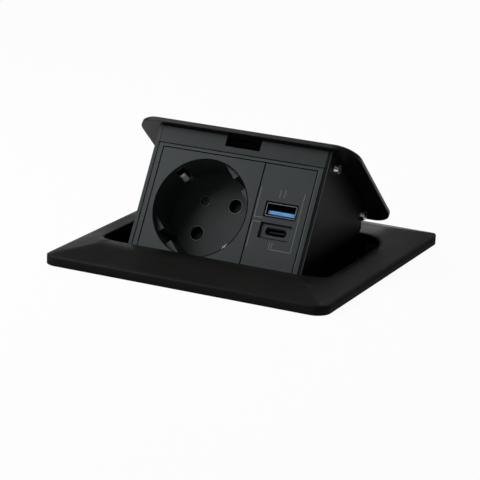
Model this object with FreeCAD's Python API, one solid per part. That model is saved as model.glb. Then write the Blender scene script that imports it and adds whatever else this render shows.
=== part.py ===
import FreeCAD, Part
import math
import os
from FreeCAD import Placement, Rotation, Vector

# Flip-up floor box outlet, in millimetres and degrees.
# Z = 0 is the floor, where the frame's rim rests. The outlet faces -Y and is drawn flipped up.

# Surface frame: its width follows from the modules, its depth from the lid
side_flange = 11.0
front_flange = 21.6
rear_flange = 31.8
frame_corner = 6.0
rim_height = 3.3
rim_wall = 2.2
crown_height = 7.5
crown_run = 16.5
shoulder_round = 20.0
frame_wall = 2.0
mitre_round = 5.0
collar_reach = 8.5
rear_collar_reach = 3.0

# Lid and its opening
lid_side_reach = 10.35
lid_rear_reach = 23.25
lid_thickness = 2.0
lid_corner = 9.7
lid_edge_bevel = 0.6
lid_side_gap = 1.15
lid_front_gap = 1.2
lid_rear_gap = 4.1
lug_width = 6.0
lug_length = 8.0
lug_height = 6.0
lug_wall = 0.8
lug_front_inset = 11.6
lug_rear_inset = 10.1

# Flip axis, seen from the rear edge of the shut lid
flip_angle = 40.3
hinge_back = 14.2
hinge_drop = 17.9

# Flip-up unit
cheek_wall = 1.5
cheek_rear_setback = 5.2
cheek_rear_lean = 11.0
cheek_foot = 1.2
cheek_heel = 1.0
fascia_lean = 11.4
lid_overhang = 3.05
strip_height = 6.8
strip_thickness = 2.0
notch_width = 15.0
notch_height = 4.5
bezel_thickness = 3.0
bezel_top_band = 1.35
bezel_side_band = 2.1
bezel_foot_band = 2.0
bezel_bevel = 0.2
cover_wall = 1.2
cover_gap = 1.0
cover_setback = 3.2
cover_clearance = 0.2
cover_cable_hole = 9.0
cover_hole_drop = 8.0
grommet_wall = 1.15
grommet_length = 5.0

# Outlet modules
module_size = 45.0
usb_module_width = 22.5
module_recess = 0.2
module_bevel = 0.25
face_plate = 2.4
module_depth = 35.0

# Earthed socket
well_margin = 2.65
well_depth = 17.5
well_wall = 1.2
well_floor = 1.6
well_edge_bevel = 0.4
pin_spacing = 19.0
pin_hole_radius = 2.8
pin_hole_bevel = 0.5
pin_axis_turn = 45.0
flat_height = 2.75
flat_start = 2.6
flat_groove = 6.3
dimple_offset = 9.6
dimple_radius = 2.3
dimple_depth = 0.8
earth_slot_width = 4.0
earth_slot_start = 2.5
earth_strip_width = 2.5
earth_strip_wall = 0.7
earth_contact_reach = 3.65
earth_contact_depth = 6.8
earth_arm_gap = 0.3
earth_spring_length = 7.0
earth_tip_reach = 3.0
earth_tip_inset = 3.4
body_inset = 1.0
socket_body_wall = 1.4
shutter_gap = 0.3
shutter_thickness = 1.5
shutter_half_width = 3.6
shutter_reach = 13.0
shutter_hub_radius = 2.6
shutter_collar = 1.2
shutter_collar_rise = 1.0
shutter_spring_radius = 4.5
shutter_spring_wire = 0.25
shutter_spring_length = 1.5
contact_gap = 1.6
sleeve_outer_radius = 3.1
sleeve_wall = 0.6
sleeve_back_gap = 1.9
terminal_size = 6.5
terminal_screw_radius = 1.4
terminal_screw_lip = 0.8
terminal_screw_proud = 1.6
sleeve_slot = 0.8

# USB charger
usb_a_width = 12.7
usb_a_height = 5.3
usb_a_rise = 4.3
usb_a_corner = 0.6
usb_c_width = 8.9
usb_c_height = 3.2
usb_c_drop = 4.35
usb_c_recess_width = 13.4
usb_c_recess_height = 6.1
usb_c_recess_depth = 0.7
usb_shell_wall = 0.3
usb_a_hole_gap = 0.35
usb_a_shell_setback = 0.3
usb_c_hole_gap = 0.15
usb_c_shell_setback = 0.5
usb_a_tongue_width = 11.1
usb_a_tongue_height = 1.84
usb_a_tongue_drop = 1.0
usb_c_tongue_width = 6.7
usb_c_tongue_height = 0.7
tongue_setback = 1.3
usb_c_tongue_setback = 0.6
contact_pad_width = 1.0
contact_pad_height = 0.12
board_depth = 15.5
board_thickness = 1.4
board_clearance = 1.3
case_wall = 1.2
transformer_width = 12.0
transformer_height = 13.0
transformer_depth = 9.0
capacitor_radius = 3.0
capacitor_length = 10.0
capacitor_pitch = 8.0
capacitor_drop = 3.5
board_edge = 1.0
usb_a_pad_inner = 1.0
usb_a_pad_outer = 3.5
tongue_root = 3.0

# Hinge
shaft_radius = 2.0
fixed_fit = 0.02
running_fit = 0.05
bracket_wall = 1.5
bracket_radius = 6.5
bracket_tab = 10.5
bracket_tab_length = 12.0
bracket_tab_shift = 1.3
bracket_screw_pitch = 6.4
bracket_screw_shift = 0.5
bracket_screw_length = 4.0
bracket_pad_drop = 2.5
bracket_pad_width = 6.0
washer_thickness = 0.6
washer_radius = 4.0
washer_gap = 0.1
clip_thickness = 0.8
clip_radius = 3.6
clip_groove = 0.4
shaft_end = 1.0
arm_radius = 6.0
stop_gap = 0.3
spring_wire_radius = 0.6
spring_coil_radius = 3.8
spring_length = 10.0
spring_inset = 8.0
spring_leg_spare = 2.0
spring_rest_leg_angle = 94.0
tie_rod_radius = 1.5
tie_rod_pin = 1.0
tie_rod_reach = 14.5
tie_rod_drop = 2.0

# Latch
bolt_width = 14.0
bolt_height = 3.0
bolt_length = 15.5
bolt_setback = 1.5
bolt_nose = 1.4
bolt_clearance = 0.3
bolt_rise = 0.7
bolt_pocket = 4.0
latch_wall = 1.0
latch_gap = 1.0
latch_length = 17.0
latch_spring_radius = 0.9
latch_spring_wire = 0.2

# Back box
flange_reach = 7.0
box_corner = 8.0
box_wall = 1.6
box_top = 2.6
box_bottom = 56.0
box_tab = 7.4
step_depth = 19.0
step_drop = 20.6
box_tab_drop = 1.0
boss_inset = 2.0
fixing_spacing_x = 80.0
fixing_spacing_y = 60.0
fixing_hole_radius = 2.25
gasket_height = 2.6
gasket_gap = 0.4

# Cable gland in the rear wall of the box
gland_height = 17.5
gland_bore_radius = 5.5
gland_thread_radius = 10.0
gland_hex = 24.0
gland_flange = 5.0
gland_inner_reach = 8.0
gland_cap_across = 22.0
gland_cap_length = 13.0
gland_cap_bore = 9.6
gland_cap_end = 2.0
gland_cap_gap = 0.2
gland_neck_radius = 9.5
gland_neck_length = 9.0
gland_seal_radius = 8.0
gland_seal_length = 6.0
gland_nut_thickness = 5.0

# Fasteners
screw_radius = 1.25
screw_head_radius = 2.4
screw_head_taper = 0.5
screw_head_height = 1.5
screw_length = 6.0
screw_hole_gap = 0.05
shank_sides = 12
recess_length = 2.6
recess_width = 0.6
recess_depth = 0.8
boss_half = 2.4
earth_screw_radius = 2.0
earth_screw_across = 7.0
earth_screw_head_height = 3.0
earth_screw_slot = 1.0

part_gap = 0.1
bite = 0.5

# Sizes and places that follow
modules_half = (module_size + usb_module_width) / 2
inner_half = modules_half + part_gap / 2 + bezel_side_band + part_gap
unit_width = 2 * (inner_half + cheek_wall)
lid_width = unit_width + 2 * lid_side_reach
lid_length = lid_overhang + module_depth + lid_rear_reach
opening_width = lid_width + 2 * lid_side_gap
frame_width = opening_width + 2 * side_flange
frame_depth = front_flange + lid_front_gap + lid_length + lid_rear_gap + rear_flange
box_width = frame_width - 2 * flange_reach
box_depth = frame_depth - 2 * flange_reach
opening_front = front_flange - frame_depth / 2
lid_front = opening_front + lid_front_gap
lid_rear = lid_front + lid_length
opening_rear = lid_rear + lid_rear_gap
opening_corner = lid_corner + lid_side_gap
lid_underside = crown_height - lid_thickness
frame_underside = crown_height - frame_wall
hinge_y = lid_rear + hinge_back
hinge_z = crown_height - hinge_drop
module_top = -(strip_height + bezel_top_band + part_gap)
module_middle = module_top - module_size / 2
bezel_foot = module_top - module_size - bezel_foot_band
socket_x = -modules_half + module_size / 2
usb_x = modules_half - usb_module_width / 2
body_size = module_size - 2 * body_inset
board_height = body_size - 2 * case_wall - 2 * board_clearance
well_radius = module_size / 2 - well_margin
flat_distance = well_radius - flat_height
earth_contact_radius = well_radius - earth_contact_reach
well_floor_front = module_recess + well_depth
well_floor_back = well_floor_front + well_floor
shutter_front = well_floor_back + earth_strip_wall + 2 * shutter_gap
shutter_back = shutter_front + shutter_thickness
sleeve_front = shutter_back + contact_gap
sleeve_back = module_depth - socket_body_wall - sleeve_back_gap
bracket_x = unit_width / 2 + washer_thickness + 2 * washer_gap
wall_inner_x = box_width / 2 - box_wall
wall_inner_y = box_depth / 2 - box_wall
gland_wall_y = box_depth / 2 - step_depth
gland_z = gland_height - box_bottom
fixing_middle = (gland_wall_y - box_depth / 2) / 2


def block(x, y, z):
    return Part.makeBox(x[1] - x[0], y[1] - y[0], z[1] - z[0], Vector(x[0], y[0], z[0]))


def rod(radius, start, along, length):
    return Part.makeCylinder(radius, length, Vector(*start), Vector(*along))


def tube(outer, inner, start, along, length):
    return rod(outer, start, along, length).cut(rod(inner, start, along, length))


def is_upright(edge):
    box = edge.BoundBox
    return box.ZLength > 1e-6 and box.XLength < 1e-6 and box.YLength < 1e-6


def rounded_block(x, y, z, radius):
    shape = block(x, y, z)
    return shape.makeFillet(radius, [edge for edge in shape.Edges if is_upright(edge)])


def side_plate(points, x_low, x_high):
    corners = [Vector(x_low, y, z) for y, z in points]
    face = Part.Face(Part.makePolygon(corners + corners[:1]))
    return face.extrude(Vector(x_high - x_low, 0, 0))


def mirrored(shape):
    return shape.mirror(Vector(0, 0, 0), Vector(1, 0, 0))


def both_sides(shape):
    return Part.makeCompound([shape, mirrored(shape)])


def joined(shapes):
    return shapes[0].fuse(shapes[1:]).removeSplitter()


def flipped(shape):
    """Turn a piece of the unit from the shut pose to the flipped-up one."""
    moved = shape.copy()
    moved.rotate(Vector(0, hinge_y, hinge_z), Vector(1, 0, 0), -flip_angle)
    return moved


def behind_fascia(shape):
    """Place a piece drawn with X across, Y inwards and Z up the fascia, from the lid's underside."""
    moved = shape.copy()
    turn = Rotation(Vector(1, 0, 0), fascia_lean)
    spot = Placement(Vector(0, lid_front + lid_overhang, lid_underside), turn)
    moved.Placement = spot.multiply(moved.Placement)
    return moved


def on_fascia(shape):
    return flipped(behind_fascia(shape))


def fascia_point(depth, height):
    """Y and Z, in the shut pose, of a place behind the fascia."""
    lean = math.radians(fascia_lean)
    y = lid_front + lid_overhang + depth * math.cos(lean) - height * math.sin(lean)
    z = lid_underside + depth * math.sin(lean) + height * math.cos(lean)
    return y, z


def pan_screw(shank):
    """Screw along +Z with its head below Z = 0 and a cross recess in the head."""
    head = Part.makeCone(screw_head_radius - screw_head_taper, screw_head_radius, screw_head_height,
                         Vector(0, 0, -screw_head_height))
    half = recess_length / 2
    arm = block((-half, half), (-recess_width / 2, recess_width / 2),
                (-screw_head_height, recess_depth - screw_head_height))
    cross = arm.fuse(arm.rotated(Vector(0, 0, 0), Vector(0, 0, 1), 90)).removeSplitter()
    return head.cut(cross).fuse(shank_prism(screw_radius, shank))


def shank_prism(radius, length):
    """Thread core of a screw along +Z, drawn as a prism that lies inside its hole."""
    turns = [2 * math.pi * k / shank_sides for k in range(shank_sides)]
    points = [Vector(radius * math.cos(turn), radius * math.sin(turn), 0) for turn in turns]
    return Part.Face(Part.makePolygon(points + points[:1])).extrude(Vector(0, 0, length))


def placed(shape, spot, axis=(0, 0, 1)):
    moved = shape.copy()
    turn = Rotation(Vector(0, 0, 1), Vector(*axis))
    moved.Placement = Placement(Vector(*spot), turn).multiply(moved.Placement)
    return moved


def wound_sleeve(radius, wire, length, legs):
    """Close-wound spring along +Z, drawn as a sleeve; each leg has an angle, a height and a reach."""
    shape = tube(radius + wire, radius - wire, (0, 0, 0), (0, 0, 1), length)
    for angle, height, reach in legs:
        leg = rod(wire, (radius, 0, height), (0, math.copysign(1, reach), 0), abs(reach))
        shape = shape.fuse(leg.rotated(Vector(0, 0, 0), Vector(0, 0, 1), angle))
    return shape.removeSplitter()


# Surface frame: a low hipped plate with mitred corners and an opening for the lid
def slope_lean():
    return math.atan2(crown_height - rim_height, crown_run)


def crown_slab(half, wall_inset, top_inset, reach):
    """Plate, long in Y, whose section in X and Z is flat on top and slopes down to both rims."""
    lean = slope_lean()
    flat = crown_height - top_inset
    bend = shoulder_round - top_inset
    drop = top_inset / math.cos(lean)
    low = half - wall_inset
    rim = rim_height + wall_inset * math.tan(lean) - drop
    shoulder = half - (flat + drop - rim_height) / math.tan(lean)
    centre = shoulder - bend * math.tan(lean / 2)

    def on_bend(angle):
        return Vector(centre + bend * math.sin(angle), -reach, flat - bend + bend * math.cos(angle))

    right = [on_bend(0), on_bend(lean / 2), on_bend(lean), Vector(low, -reach, rim),
             Vector(low, -reach, -1)]
    left = [Vector(-p.x, p.y, p.z) for p in right]
    edges = [Part.makeLine(left[0], right[0]),
             Part.Arc(right[0], right[1], right[2]).toShape(),
             Part.makeLine(right[2], right[3]),
             Part.makeLine(right[3], right[4]),
             Part.makeLine(right[4], left[4]),
             Part.makeLine(left[4], left[3]),
             Part.makeLine(left[3], left[2]),
             Part.Arc(left[2], left[1], left[0]).toShape()]
    return Part.Face(Part.Wire(edges)).extrude(Vector(0, 2 * reach, 0))


def crown_solid(wall_inset, top_inset):
    across = crown_slab(frame_width / 2, wall_inset, top_inset, frame_depth)
    along = crown_slab(frame_depth / 2, wall_inset, top_inset, frame_width)
    along.rotate(Vector(0, 0, 0), Vector(0, 0, 1), 90)
    return across.common(along)


def is_mitre(edge):
    """A mitre climbs from the rim's corner to the flat top, across both X and Y."""
    box = edge.BoundBox
    return box.XLength > crown_run / 2 and box.YLength > crown_run / 2 and box.ZLength > 1


def opening_block(grow, low, high):
    half = opening_width / 2 + grow
    return rounded_block((-half, half), (opening_front - grow, opening_rear + grow), (low, high),
                         opening_corner + grow)


def square_post(x, y, half_x, half_y, foot):
    """Post that hangs from the underside of the frame."""
    return block((x - half_x, x + half_x), (y - half_y, y + half_y), (foot, frame_underside + bite))


def blind_hole(x, y, foot):
    return rod(screw_radius + screw_hole_gap, (x, y, foot), (0, 0, 1), frame_underside - foot)


def box_screw_places():
    side = wall_inner_x - boss_half - boss_inset
    way = wall_inner_y - boss_half - boss_inset
    return [(side, -way), (-side, -way), (side, way), (-side, way)]


def bracket_middle():
    return bracket_x + bracket_tab / 2 + bracket_screw_shift, hinge_y - bracket_tab_shift


def bracket_screw_places():
    x, y = bracket_middle()
    return [(side * x, y + way * bracket_screw_pitch / 2) for side in (1, -1) for way in (1, -1)]


def bracket_top():
    return frame_underside - bracket_pad_drop


def surface_frame():
    outer = crown_solid(0.0, 0.0)
    outer = outer.makeFillet(mitre_round, [edge for edge in outer.Edges if is_mitre(edge)])
    half_x = frame_width / 2
    half_y = frame_depth / 2
    plan = rounded_block((-half_x, half_x), (-half_y, half_y), (0, crown_height + 1), frame_corner)
    shell = outer.common(plan)
    inner_corner = frame_corner - rim_wall
    hollow_plan = rounded_block((rim_wall - half_x, half_x - rim_wall),
                                (rim_wall - half_y, half_y - rim_wall),
                                (-1, crown_height), inner_corner)
    shell = shell.cut(crown_solid(rim_wall, frame_wall).common(hollow_plan))
    collar_foot = crown_height - collar_reach
    inside = crown_solid(rim_wall, frame_wall / 2)
    shell = shell.fuse(opening_block(frame_wall, collar_foot,
                                     frame_underside + frame_wall / 2).common(inside))
    for x, y in box_screw_places():
        shell = shell.fuse(square_post(x, y, boss_half, boss_half, box_tab_drop).common(inside))
    pad_x, pad_y = bracket_middle()
    for x in (pad_x, -pad_x):
        pad = square_post(x, pad_y, bracket_pad_width / 2, bracket_tab_length / 2, bracket_top())
        shell = shell.fuse(pad.common(inside))
    shell = shell.cut(opening_block(0.0, collar_foot - 1, crown_height + 1))
    rear_slot = block((-opening_width / 2, opening_width / 2),
                      (opening_rear - opening_corner, opening_rear + frame_wall + 0.1),
                      (collar_foot - 1, crown_height - rear_collar_reach))
    shell = shell.cut(rear_slot.cut(opening_block(0.0, collar_foot - 2, crown_height + 2)))
    for x, y in box_screw_places():
        shell = shell.cut(blind_hole(x, y, box_tab_drop))
    for x, y in bracket_screw_places():
        shell = shell.cut(blind_hole(x, y, bracket_top()))
    keeper_half = bolt_width / 2 + 2 * bolt_clearance
    bolt_low = bolt_bottom()
    keeper = block((-keeper_half, keeper_half),
                   (opening_front - frame_wall - 0.1, opening_front + 0.1),
                   (bolt_low - bolt_clearance, bolt_low + bolt_height + bolt_clearance))
    shell = shell.cut(keeper)
    return shell.removeSplitter()


def frame_gasket():
    outer = frame_width / 2 - rim_wall - gasket_gap / 2
    outer_y = frame_depth / 2 - rim_wall - gasket_gap / 2
    inner = box_width / 2 + gasket_gap
    inner_y = box_depth / 2 + gasket_gap
    ring = rounded_block((-outer, outer), (-outer_y, outer_y), (0, gasket_height), frame_corner - rim_wall)
    ring = ring.cut(rounded_block((-inner, inner), (-inner_y, inner_y), (-1, gasket_height + 1),
                                  box_corner))
    return ring.cut(shell_space())


def shell_space():
    """Everything above the frame's hollow underside."""
    tall = block((-frame_width, frame_width), (-frame_depth, frame_depth), (0, crown_height + 1))
    return tall.cut(crown_solid(rim_wall, frame_wall + part_gap))


# Back box, drawn from sheet, with tabs for the frame's screws
def back_box():
    half_x = box_width / 2
    half_y = box_depth / 2
    outer = rounded_block((-half_x, half_x), (-half_y, half_y), (-step_drop, box_top), box_corner)
    lower = rounded_block((-half_x, half_x), (-half_y, gland_wall_y), (-box_bottom, -step_drop + 1),
                          box_corner)
    inner = rounded_block((-wall_inner_x, wall_inner_x), (-wall_inner_y, wall_inner_y),
                          (box_wall - step_drop, box_top + 1), box_corner - box_wall)
    well = rounded_block((-wall_inner_x, wall_inner_x), (-wall_inner_y, gland_wall_y - box_wall),
                         (box_wall - box_bottom, box_top), box_corner - box_wall)
    shell = outer.fuse(lower).cut(inner).cut(well)
    for x, y in box_screw_places():
        side = math.copysign(1, x)
        way = math.copysign(1, y)
        xs = sorted((side * (wall_inner_x + 0.5), side * (wall_inner_x - box_tab)))
        ys = sorted((way * (wall_inner_y + 0.5), way * (wall_inner_y - box_tab)))
        tab = block(xs, ys, (box_tab_drop - box_wall, box_tab_drop))
        shell = shell.fuse(tab.common(outer))
        shell = shell.cut(rod(screw_radius + 4 * screw_hole_gap, (x, y, -box_wall), (0, 0, 1),
                              4 * box_wall))
    for x in (-fixing_spacing_x / 2, fixing_spacing_x / 2):
        for y in (-fixing_spacing_y / 2, fixing_spacing_y / 2):
            shell = shell.cut(rod(fixing_hole_radius, (x, fixing_middle + y, -box_bottom - 1), (0, 0, 1),
                                  box_wall + 2))
    entry = rod(gland_thread_radius + fixed_fit, (0, gland_wall_y - box_wall - 1, gland_z), (0, 1, 0),
                box_wall + 2)
    stud = rod(earth_screw_radius, earth_screw_place(), (0, 0, -1), box_wall + 1)
    return shell.cut(entry).cut(stud).removeSplitter()


def box_screws():
    screw = pan_screw(screw_length - part_gap)
    low = box_tab_drop - box_wall
    return Part.makeCompound([placed(screw, (x, y, low)) for x, y in box_screw_places()])


def earth_screw_place():
    return -(fixing_spacing_x / 2), fixing_middle, box_wall - box_bottom


def box_earth_screw():
    x, y, z = earth_screw_place()
    corner = earth_screw_across / math.sqrt(3)
    points = [Vector(x + corner * math.cos(math.radians(60 * k)),
                     y + corner * math.sin(math.radians(60 * k)), z)
              for k in range(6)]
    head = Part.Face(Part.makePolygon(points + points[:1])).extrude(Vector(0, 0, earth_screw_head_height))
    slot = block((x - corner, x + corner), (y - earth_screw_slot / 2, y + earth_screw_slot / 2),
                 (z + earth_screw_head_height - earth_screw_slot, z + 2 * earth_screw_head_height))
    shank = rod(earth_screw_radius - part_gap, (x, y, z - box_wall), (0, 0, 1), box_wall)
    return joined([head.cut(slot), shank])


# Cable gland
def hex_prism(across, start_y, length, z):
    corner = across / math.sqrt(3)
    points = [Vector(corner * math.cos(math.radians(60 * k)), start_y,
                     z + corner * math.sin(math.radians(60 * k)))
              for k in range(6)]
    return Part.Face(Part.makePolygon(points + points[:1])).extrude(Vector(0, length, 0))


def gland_body():
    out = gland_wall_y
    inside = out - box_wall - gland_inner_reach
    thread = rod(gland_thread_radius, (0, inside, gland_z), (0, 1, 0), out - inside)
    flange = hex_prism(gland_hex, out, gland_flange, gland_z)
    neck = rod(gland_neck_radius, (0, out + gland_flange, gland_z), (0, 1, 0), gland_neck_length)
    bore = rod(gland_bore_radius, (0, inside - 1, gland_z), (0, 1, 0), out + gland_flange - inside + 2)
    seat = rod(gland_seal_radius + part_gap, (0, out + gland_flange, gland_z), (0, 1, 0), gland_cap_length)
    return joined([thread, flange, neck]).cut(bore).cut(seat)


def gland_seal():
    start = gland_wall_y + gland_flange
    return tube(gland_seal_radius, gland_bore_radius, (0, start, gland_z), (0, 1, 0), gland_seal_length)


def gland_cap():
    start = gland_wall_y + gland_flange + gland_cap_gap
    cap = hex_prism(gland_cap_across, start, gland_cap_length, gland_z)
    cap = cap.cut(rod(gland_cap_bore, (0, start - 1, gland_z), (0, 1, 0),
                      gland_cap_length + 1 - gland_cap_end))
    return cap.cut(rod(gland_bore_radius, (0, start, gland_z), (0, 1, 0), gland_cap_length + 1))


def gland_locknut():
    start = gland_wall_y - box_wall - gland_nut_thickness
    nut = hex_prism(gland_hex, start, gland_nut_thickness, gland_z)
    return nut.cut(rod(gland_thread_radius + fixed_fit, (0, start - 1, gland_z), (0, 1, 0),
                       gland_nut_thickness + 2))


# Hinge: two brackets under the rear flange, a shaft through them, clips, washers and springs
def hinge_bracket():
    top = bracket_top()
    leg_x = (bracket_x, bracket_x + bracket_wall)
    leg = block(leg_x, (hinge_y - bracket_radius, hinge_y + bracket_radius), (hinge_z, top))
    leg = leg.fuse(rod(bracket_radius, (bracket_x, hinge_y, hinge_z), (1, 0, 0), bracket_wall))
    middle = hinge_y - bracket_tab_shift
    tab = block((bracket_x, bracket_x + bracket_tab),
                (middle - bracket_tab_length / 2, middle + bracket_tab_length / 2),
                (top - bracket_wall, top))
    shape = joined([leg, tab])
    shape = shape.cut(rod(shaft_radius + fixed_fit, (bracket_x - 1, hinge_y, hinge_z), (1, 0, 0),
                          bracket_wall + 2))
    for x, y in bracket_screw_places():
        shape = shape.cut(rod(screw_radius + 3 * screw_hole_gap, (x, y, top - 2 * bracket_wall), (0, 0, 1),
                              3 * bracket_wall))
    return shape


def bracket_screws():
    screw = pan_screw(bracket_screw_length - part_gap)
    low = bracket_top() - bracket_wall
    return Part.makeCompound([placed(screw, (x, y, low)) for x, y in bracket_screw_places()])


def clip_start():
    return bracket_x + bracket_wall + part_gap


def hinge_shaft():
    reach = clip_start() + clip_thickness + shaft_end
    shaft = rod(shaft_radius, (-reach, hinge_y, hinge_z), (1, 0, 0), 2 * reach)
    for start in (clip_start(), -clip_start() - clip_thickness):
        groove = tube(shaft_radius + 1, shaft_radius - clip_groove, (start, hinge_y, hinge_z), (1, 0, 0),
                      clip_thickness)
        shaft = shaft.cut(groove)
    return shaft


def shaft_clips():
    start = clip_start() + 0.05
    width = clip_thickness - 0.1
    ring = tube(clip_radius, shaft_radius - clip_groove + fixed_fit, (start, hinge_y, hinge_z), (1, 0, 0),
                width)
    mouth = block((start - 1, start + width + 1), (hinge_y - 1.2, hinge_y + 1.2),
                  (hinge_z - clip_radius - 1, hinge_z))
    return both_sides(ring.cut(mouth))


def hinge_washers():
    start = unit_width / 2 + washer_gap
    washer = tube(washer_radius, shaft_radius + fixed_fit, (start, hinge_y, hinge_z), (1, 0, 0),
                  washer_thickness)
    return both_sides(washer)


def flip_springs():
    """Torsion springs: one leg bears up on the rear flange, the other lifts the unit's tie rod."""
    tie_y, tie_z = tie_rod_place()
    reach = math.hypot(tie_y - hinge_y, tie_z - hinge_z)
    tie_angle = math.degrees(math.atan2(tie_z - hinge_z, tie_y - hinge_y)) % 360 - flip_angle
    offset = spring_coil_radius - spring_wire_radius - tie_rod_radius - fixed_fit
    lift_angle = tie_angle - math.degrees(math.asin(offset / reach))
    lift_leg = reach + spring_leg_spare
    steep = math.radians(spring_rest_leg_angle)
    rise = frame_underside - part_gap - hinge_z - spring_wire_radius * math.cos(steep)
    rest_leg = (rise + spring_coil_radius * math.cos(steep)) / math.sin(steep)
    legs = [(lift_angle + 180, spring_wire_radius, -lift_leg),
            (spring_rest_leg_angle, spring_length - spring_wire_radius, rest_leg)]
    shape = wound_sleeve(spring_coil_radius, spring_wire_radius, spring_length, legs)
    start = inner_half - spring_inset - spring_length
    spot = Placement(Vector(start, hinge_y, hinge_z), Rotation(Vector(0, 1, 0), 90))
    shape.Placement = spot.multiply(shape.Placement)
    return both_sides(shape)


# Flip-up unit, drawn shut and then turned about the hinge shaft
def lid_plate():
    half = lid_width / 2
    plate = rounded_block((-half, half), (lid_front, lid_rear), (lid_underside, crown_height), lid_corner)
    rim = [edge for edge in plate.Edges if edge.BoundBox.ZMin > crown_height - 0.01]
    plate = plate.makeChamfer(lid_edge_bevel, rim)
    for y in lug_places():
        lug = block((inner_half - lug_width, inner_half - part_gap / 2),
                    (y - lug_length / 2, y + lug_length / 2),
                    (lid_underside - lug_height, lid_underside + bite))
        hole = rod(screw_radius + screw_hole_gap, (inner_half - lug_width + lug_wall, y, screw_line()),
                   (1, 0, 0), lug_width)
        lug = lug.cut(hole)
        plate = plate.fuse([lug, mirrored(lug)])
    return flipped(plate.removeSplitter())


def lug_places():
    return lid_front + lug_front_inset, lid_rear - lug_rear_inset


def screw_line():
    return lid_underside - lug_height / 2


def cheek_outline():
    rear_top = (lid_rear - cheek_rear_setback, lid_underside)
    neck_z = hinge_z + arm_radius * 0.6
    neck = (rear_top[0] - (lid_underside - neck_z) * math.tan(math.radians(cheek_rear_lean)), neck_z)
    foot_front = fascia_point(0, bezel_foot)
    foot_rear = fascia_point(module_depth + cover_gap + cover_wall + cheek_foot, bezel_foot + cheek_heel)
    heel = (neck[0] - cheek_heel, hinge_z - arm_radius * 1.6)
    return [fascia_point(0, 0), rear_top, neck, (hinge_y, hinge_z + arm_radius),
            (hinge_y, hinge_z - arm_radius), heel, foot_rear, foot_front]


def cheek_plate(x_low, x_high):
    plate = side_plate(cheek_outline(), x_low, x_high)
    return plate.fuse(rod(arm_radius, (x_low, hinge_y, hinge_z), (1, 0, 0),
                          x_high - x_low)).removeSplitter()


def stop_space():
    """Space that the rear collar of the frame needs in front of and above the raised arms."""
    return block((-frame_width, frame_width), (opening_rear - stop_gap, frame_depth),
                 (crown_height - rear_collar_reach - stop_gap, frame_depth))


def cheek():
    low = inner_half
    high = inner_half + cheek_wall
    plate = cheek_plate(low, high)
    plate = plate.cut(rod(shaft_radius + running_fit, (low - 1, hinge_y, hinge_z), (1, 0, 0),
                          cheek_wall + 2))
    tie_y, tie_z = tie_rod_place()
    plate = plate.cut(rod(tie_rod_pin + fixed_fit, (low - 1, tie_y, tie_z), (1, 0, 0), cheek_wall + 2))
    for y in lug_places():
        plate = plate.cut(rod(screw_radius + 3 * screw_hole_gap, (low - 1, y, screw_line()), (1, 0, 0), 4))
    return flipped(plate).cut(stop_space())


def cheek_screws():
    screw = pan_screw(cheek_wall + lug_width - lug_wall - 4 * part_gap)
    spots = [placed(screw, (unit_width / 2, y, screw_line()), (-1, 0, 0)) for y in lug_places()]
    return flipped(both_sides(Part.makeCompound(spots)))


def tie_rod_place():
    return hinge_y - tie_rod_reach, hinge_z - tie_rod_drop


def tie_rod():
    y, z = tie_rod_place()
    bar = rod(tie_rod_radius, (-inner_half, y, z), (1, 0, 0), 2 * inner_half)
    pins = rod(tie_rod_pin, (-unit_width / 2, y, z), (1, 0, 0), unit_width)
    return flipped(bar.fuse(pins))


def latch_strip():
    half = inner_half - part_gap
    strip = block((-half, half), (0, strip_thickness), (-strip_height, -part_gap))
    notch = block((-notch_width / 2, notch_width / 2), (-1, strip_thickness + 1), (-notch_height, 1))
    strip = behind_fascia(strip.cut(notch))
    under = block((-half, half), (lid_front, lid_rear),
                  (lid_underside - 2 * strip_height, lid_underside - part_gap / 2))
    return flipped(strip.common(under))


def fascia_bezel():
    half = inner_half - part_gap
    top = -strip_height - part_gap
    frame = block((-half, half), (0, bezel_thickness), (bezel_foot, top))
    rim = [edge for edge in frame.Edges if edge.BoundBox.YMax < 0.01]
    frame = frame.makeChamfer(bezel_bevel, rim)
    gap = part_gap / 2
    window = block((-modules_half - gap, modules_half + gap), (-1, bezel_thickness + 1),
                   (module_top - module_size - gap, module_top + gap))
    return on_fascia(frame.cut(window))


def cover_corners(wall):
    """Front foot, rear foot and top of one face of the rear cover."""
    low = bezel_foot + cover_clearance + wall
    back = module_depth + cover_gap + cover_wall - wall
    top = (lid_rear - cheek_rear_setback - cover_setback - wall, lid_underside - part_gap)
    return [fascia_point(bezel_thickness + bite, low), fascia_point(back, low), top]


def cover_hole_place():
    low, high = cover_corners(cover_wall)[1:]
    return (inner_half - part_gap) / 2, (low[0] + high[0]) / 2, (low[1] + high[1]) / 2 - cover_hole_drop


def rear_cover():
    """Bent cover that closes the unit behind and below the modules."""
    half = inner_half - part_gap
    sheet = side_plate(cover_corners(cover_wall) + cover_corners(0)[::-1], -half, half)
    x, y, z = cover_hole_place()
    sheet = sheet.cut(rod(cover_cable_hole / 2, (x, y - cover_cable_hole, z), (0, 1, 0),
                          2 * cover_cable_hole))
    lug_y = lug_places()[1]
    corner = block((inner_half - lug_width - cover_gap / 2, unit_width),
                   (lug_y - lug_length, lug_y + lug_length),
                   (lid_underside - lug_height - cover_gap / 2, crown_height))
    return flipped(sheet.cut(both_sides(corner)))


def cover_grommet():
    """Rubber ring that guards the flexible leads where they pass the rear cover."""
    x, y, z = cover_hole_place()
    outer = cover_cable_hole / 2 - part_gap / 2
    return flipped(tube(outer, outer - grommet_wall, (x, y - grommet_length / 2, z), (0, 1, 0),
                        grommet_length))


# Latch: a sprung bolt behind the notch of the strip, which shoots into the frame's collar
def bolt_bottom():
    return lid_underside - notch_height + bolt_rise


def bolt_face():
    lean = math.tan(math.radians(fascia_lean))
    return lid_front + lid_overhang + (lid_underside - bolt_bottom()) * lean + bolt_setback


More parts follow.
